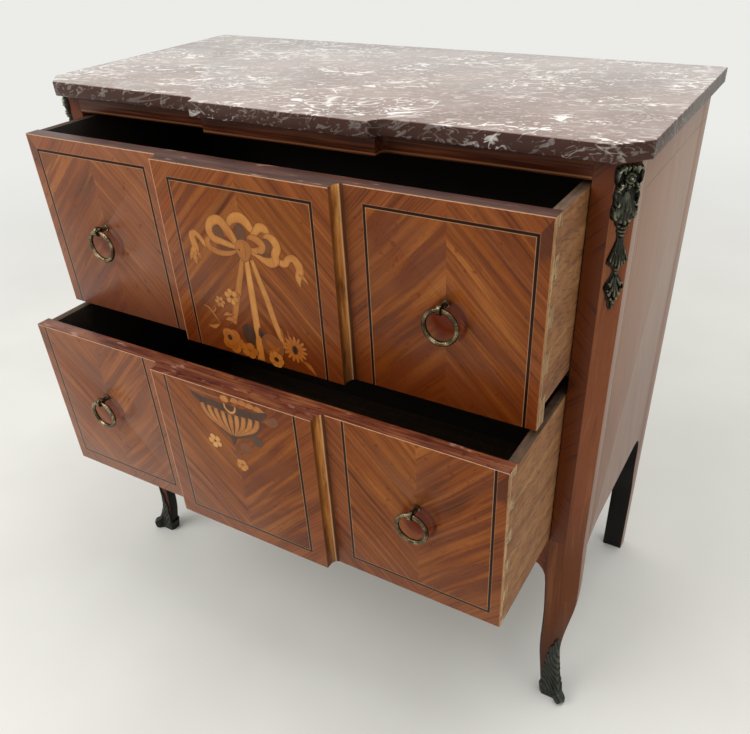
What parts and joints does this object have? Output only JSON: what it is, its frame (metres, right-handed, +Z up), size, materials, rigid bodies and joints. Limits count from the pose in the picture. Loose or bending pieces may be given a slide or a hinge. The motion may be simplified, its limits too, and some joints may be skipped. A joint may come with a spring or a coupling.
{
  "type": "commode chest",
  "caption": "Breakfront chest of drawers with a marble top, cabriole front legs, cast feet and corner mounts, and ring handles.",
  "frame": {"origin": "middle of the bounding box on the floor, with both drawers as far out as in the picture", "axes": "+X to the right of someone facing the front, +Y to the back, +Z up"},
  "size_m": [0.8648, 0.5754, 0.846],
  "materials": {
    "marble": "polished pinkish grey marble with white veins",
    "veneer": "polished kingwood veneer laid in chevrons with stringing and marquetry",
    "side_veneer": "polished veneer on the sides and back legs",
    "dark_rail": "dark red polished rail",
    "drawer_wood": "bare pale drawer lining",
    "plain_wood": "bare carcass wood",
    "bronze": "dark green patinated cast bronze",
    "steel": "worn brass rings and nuts"
  },
  "bodies": {
    "carcass": {"front_leg_right": "veneer", "front_leg_left": "veneer", "back_leg_right": "side_veneer", "back_leg_left": "side_veneer", "side_panel_right": "side_veneer", "side_panel_left": "side_veneer", "frieze_rail": "dark_rail", "apron": "veneer", "front_bracket_right": "veneer", "front_bracket_left": "veneer", "dividing_rail": "plain_wood", "back_rail": "plain_wood", "top_board": "plain_wood", "bottom_board": "plain_wood", "back_board_1": "plain_wood", "back_board_2": "plain_wood", "back_board_3": "plain_wood", "runner_upper_left": "plain_wood", "guide_upper_left": "plain_wood", "runner_lower_left": "plain_wood", "guide_lower_left": "plain_wood", "kicker_left": "plain_wood", "stop_left": "plain_wood", "runner_upper_right": "plain_wood", "guide_upper_right": "plain_wood", "runner_lower_right": "plain_wood", "guide_lower_right": "plain_wood", "kicker_right": "plain_wood", "stop_right": "plain_wood", "marble_top": "marble", "chute_left": "bronze", "chute_right": "bronze", "sabot_right": "bronze", "sabot_left": "bronze"},
    "drawer_upper": {"drawer_upper_side_left": "drawer_wood", "drawer_upper_side_right": "drawer_wood", "drawer_upper_front": "veneer", "drawer_upper_back": "drawer_wood", "drawer_upper_bottom": "drawer_wood", "post_upper_left": "bronze", "nut_upper_left": "steel", "post_upper_right": "bronze", "nut_upper_right": "steel"},
    "drawer_lower": {"drawer_lower_side_left": "drawer_wood", "drawer_lower_side_right": "drawer_wood", "drawer_lower_front": "veneer", "drawer_lower_back": "drawer_wood", "drawer_lower_bottom": "drawer_wood", "post_lower_left": "bronze", "nut_lower_left": "steel", "post_lower_right": "bronze", "nut_lower_right": "steel"},
    "ring_upper_left": {"ring_upper_left": "steel"},
    "ring_upper_right": {"ring_upper_right": "steel"},
    "ring_lower_left": {"ring_lower_left": "steel"},
    "ring_lower_right": {"ring_lower_right": "steel"}
  },
  "joints": [
    {"name": "drawer_upper_slide", "type": "slide", "parent": "carcass", "child": "drawer_upper", "axis": [0, -1, 0], "range_m": [-0.098, 0.162]},
    {"name": "drawer_lower_slide", "type": "slide", "parent": "carcass", "child": "drawer_lower", "axis": [0, -1, 0], "range_m": [-0.172, 0.088]},
    {"name": "ring_upper_left_swing", "type": "hinge", "parent": "drawer_upper", "child": "ring_upper_left", "pos_m": [-0.2576, -0.2073, 0.6845], "axis": [-1, 0, 0], "range_deg": [-14, 165]},
    {"name": "ring_upper_right_swing", "type": "hinge", "parent": "drawer_upper", "child": "ring_upper_right", "pos_m": [0.2576, -0.2073, 0.6845], "axis": [-1, 0, 0], "range_deg": [-14, 165]},
    {"name": "ring_lower_left_swing", "type": "hinge", "parent": "drawer_lower", "child": "ring_lower_left", "pos_m": [-0.2576, -0.2813, 0.4515], "axis": [-1, 0, 0], "range_deg": [-14, 165]},
    {"name": "ring_lower_right_swing", "type": "hinge", "parent": "drawer_lower", "child": "ring_lower_right", "pos_m": [0.2576, -0.2813, 0.4515], "axis": [-1, 0, 0], "range_deg": [-14, 165]}
  ]
}
